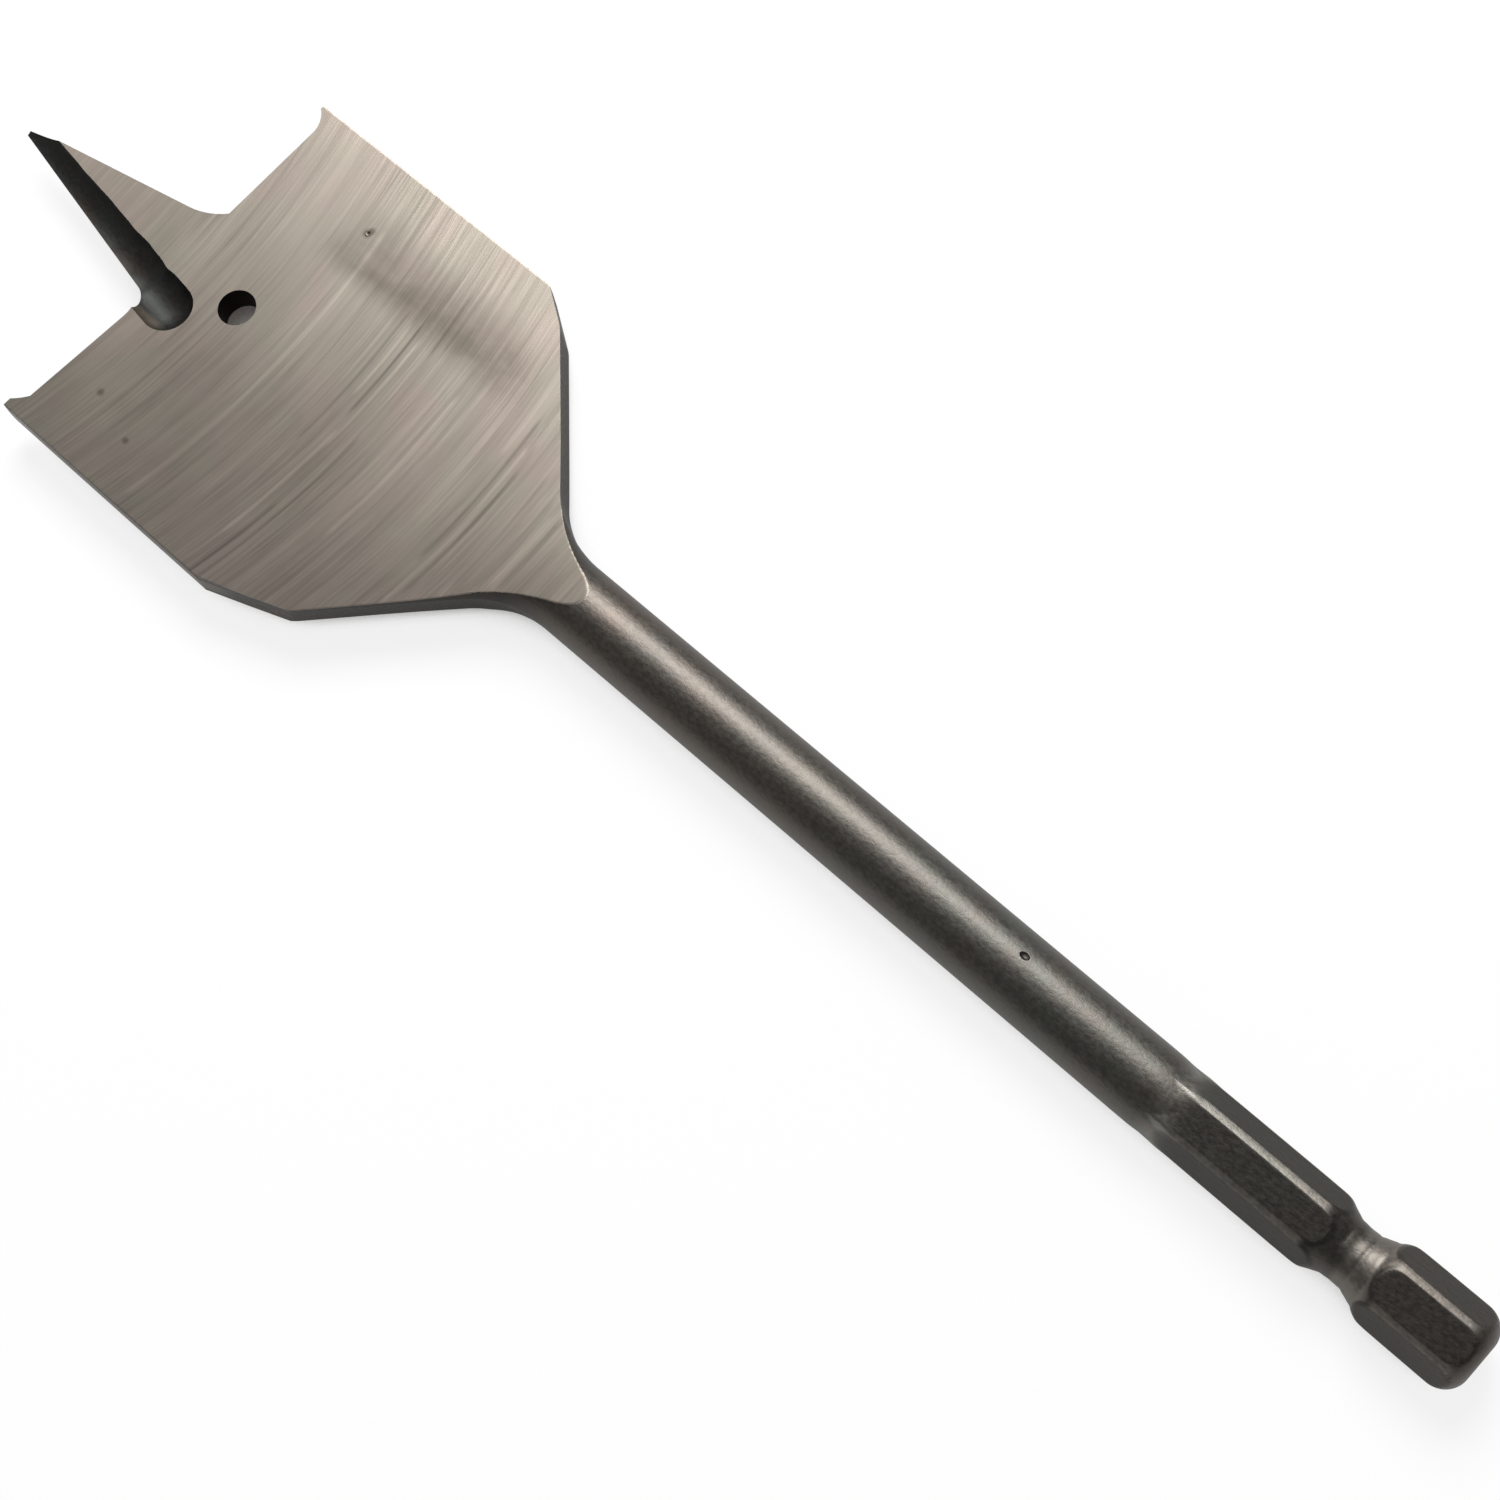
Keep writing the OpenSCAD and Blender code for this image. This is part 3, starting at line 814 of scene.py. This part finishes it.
def flute_points():
    """Path of the flute wheel: a half ball and then a run of the same radius, leaning toward the
    axis of the point by flute_slope. Chatter adds bell curves to the radius along the run, each
    by its place, width and height."""
    reach = np.sqrt(2 * flute_r * flute_depth - flute_depth ** 2)
    swell = np.linspace(pole_gap, np.pi / 2, ball_rows)
    run_out = np.linspace(0.2, point_h + flute_back + 2 * over, flute_rows)
    waves = sum(high * np.exp(-((run_out - at) / wide) ** 2) for at, wide, high in chatter)
    along = np.append(-flute_r * np.cos(swell), run_out)
    radius = np.append(flute_r * np.sin(swell), flute_r + waves)
    turn = np.linspace(0, 2 * np.pi, flute_cells + 1)[None, :-1]
    across = radius[:, None] * np.cos(turn)
    run = np.broadcast_to(along[:, None], across.shape)
    start = [lip_x - flute_back + reach, flute_in - point_off, face_z - flute_depth + flute_r]
    return np.stack([start[0] + run * np.cos(flute_slope) + across * np.sin(flute_slope),
                     start[1] - run * np.sin(flute_slope) + across * np.cos(flute_slope),
                     start[2] + radius[:, None] * np.sin(turn)], axis=-1)


def hole_points():
    """Drill path of the hole: a circle carried straight down through the blade."""
    turn = np.linspace(0, 2 * np.pi, hole_cells + 1)[None, :-1]
    depth = np.array([-3, 3])[:, None] * face_z
    return np.stack([lip_x - hole_back + hole_r * np.cos(turn) + 0 * depth,
                     -hole_off + hole_r * np.sin(turn) + 0 * depth,
                     depth + 0 * turn], axis=-1)


def ball_points(centre, radius):
    """Ball about a centre, from pole to pole along Z: rows of circles of growing turn. With three
    radii, one for each axis, it is an ellipsoid."""
    tilt = np.linspace(pole_gap, np.pi - pole_gap, ball_rows)[:, None]
    turn = np.linspace(0, 2 * np.pi, ball_cells + 1)[None, :-1]
    unit = np.stack([np.sin(tilt) * np.cos(turn), np.sin(tilt) * np.sin(turn),
                     np.cos(tilt) + 0 * turn], axis=-1)
    return np.asarray(centre) + np.asarray(radius) * unit


def cut(made, name, points, material):
    """Takes the closed tube of points out of a piece; the new faces get the material."""
    tool = outward(mesh_object(name, points.reshape(-1, 3), tube_faces(*points.shape[:2]),
                               [material]))
    boolean = made.modifiers.new(name, "BOOLEAN")
    boolean.operation = "DIFFERENCE"
    boolean.solver = "EXACT"
    boolean.material_mode = "TRANSFER"
    boolean.object = tool
    bpy.context.view_layer.update()
    solved = made.evaluated_get(bpy.context.evaluated_depsgraph_get())
    result = bpy.data.meshes.new_from_object(solved)
    made.modifiers.clear()
    made.data = result
    bpy.data.objects.remove(tool)


def join_seams(made):
    """Joins the points that the cuts left closer together than join_reach, and takes out the
    faces that are left without area."""
    shell = bmesh.new()
    shell.from_mesh(made.data)
    bmesh.ops.remove_doubles(shell, verts=shell.verts, dist=join_reach * mm)
    bmesh.ops.dissolve_degenerate(shell, edges=shell.edges, dist=join_reach * mm)
    shell.to_mesh(made.data)
    shell.free()


def sharpen_borders(mesh, slots):
    """Marks the edges between two materials as sharp: those where the lowest and the highest
    slot of the faces beside them differ."""
    edges = read_values(mesh.loops, "edge_index", kind=int)
    beside = np.repeat(slots, read_values(mesh.polygons, "loop_total", kind=int))
    lowest = np.full(len(mesh.edges), slots.max())
    highest = np.zeros(len(mesh.edges), int)
    np.minimum.at(lowest, edges, beside)
    np.maximum.at(highest, edges, beside)
    sharp = read_values(mesh.edges, "use_edge_sharp", kind=bool)
    mesh.edges.foreach_set("use_edge_sharp", sharp | (lowest != highest))


lead_gap = gap_points(-point_off, 0, lip_slope_lead, root_r_lead, 0, spur_lead)
trail_gap = gap_points(point_off, lip_ahead, lip_slope_trail, root_r_trail, root_kink_trail,
                       spur_trail)
to_trailing = np.array([0, 2 * point_off, 0])
cut(bit, "lead_gap", lead_gap, lip_steel)
cut(bit, "trail_gap", half_turn(trail_gap), lip_steel)
cut(bit, "front_flute", flute_points(), flute_steel)
cut(bit, "back_flute", half_turn(flute_points() + to_trailing), flute_steel)
cut(bit, "tie_hole", hole_points(), hole_steel)
pit_z = np.sqrt(shank_r ** 2 - pit_at[1] ** 2)
cut(bit, "pit", ball_points((*pit_at, pit_z + pit_radii[2] - pit_depth), pit_radii), bit_steel)
cut(bit, "nick", ball_points((*nick_at, face_z + nick_r - nick_depth), nick_r), face_steel)

join_seams(bit)
x, y, z = read_values(bit.data.vertices, "co", 3).T / mm
in_pit = np.hypot((x - pit_at[0]) / pit_radii[0], (y - pit_at[1]) / pit_radii[1]) < 1
in_pit = in_pit & (z > 0) & (np.hypot(y, z) < shank_r - on_surface)
shade = np.where(in_pit, pit_shade, skin_shade(x, y, z))
for value_name, values in (("ground", ground_share(x, y, z)), ("shade", shade)):
    kept = bit.data.attributes.new(value_name, "FLOAT", "POINT")
    kept.data.foreach_set("value", values)

x, y, z = read_values(bit.data.polygons, "center", 3).T / mm
slots = read_values(bit.data.polygons, "material_index", kind=int)
steels = [material.name for material in bit.data.materials]
is_face = (slots == steels.index("bit_steel")) & (face_height(x) - np.abs(z) < on_surface)
slots[is_face] = steels.index("face_steel")
bit.data.polygons.foreach_set("material_index", slots)
bit.data.shade_smooth()
bit.data.set_sharp_from_angle(angle=sharp_turn)
sharpen_borders(bit.data, slots)
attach(bit, "root")
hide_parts("spade_bit")
